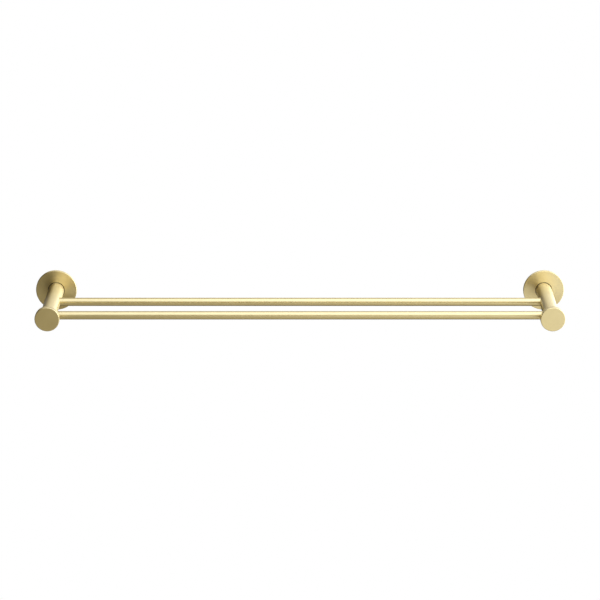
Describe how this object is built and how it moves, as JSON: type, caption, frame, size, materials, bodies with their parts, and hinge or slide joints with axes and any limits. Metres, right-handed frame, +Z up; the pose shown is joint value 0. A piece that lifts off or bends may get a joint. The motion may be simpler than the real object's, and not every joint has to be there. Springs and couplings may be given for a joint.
{
  "type": "towel rail",
  "caption": "Double towel rail: parallel round bars between round posts on wall flanges, each post closed by a wider front disc.",
  "frame": {"origin": "on the wall plane, midway between the posts and level with their axes", "axes": "+X along the bars, +Y into the wall, +Z up"},
  "size_m": [0.65, 0.1478, 0.05],
  "materials": {
    "brushed_brass": "fine brushing round the axis of each piece, under clear lacquer, satin",
    "zinc_steel": "bright zinc plating",
    "dark_steel": "black oxide, lightly oiled",
    "grey_nylon": "moulded, matt"
  },
  "bodies": {
    "root": {"left_flange": "brushed_brass", "left_post": "brushed_brass", "left_front_cap": "brushed_brass", "left_wall_plate": "dark_steel", "left_post_set_screw": "dark_steel", "left_rear_bar_set_screw": "dark_steel", "left_front_bar_set_screw": "dark_steel", "left_wall_screw_west": "zinc_steel", "left_wall_plug_west": "grey_nylon", "left_wall_screw_east": "zinc_steel", "left_wall_plug_east": "grey_nylon", "right_flange": "brushed_brass", "right_post": "brushed_brass", "right_front_cap": "brushed_brass", "right_wall_plate": "dark_steel", "right_post_set_screw": "dark_steel", "right_rear_bar_set_screw": "dark_steel", "right_front_bar_set_screw": "dark_steel", "right_wall_screw_west": "zinc_steel", "right_wall_plug_west": "grey_nylon", "right_wall_screw_east": "zinc_steel", "right_wall_plug_east": "grey_nylon", "rear_bar": "brushed_brass", "front_bar": "brushed_brass"}
  },
  "joints": []
}
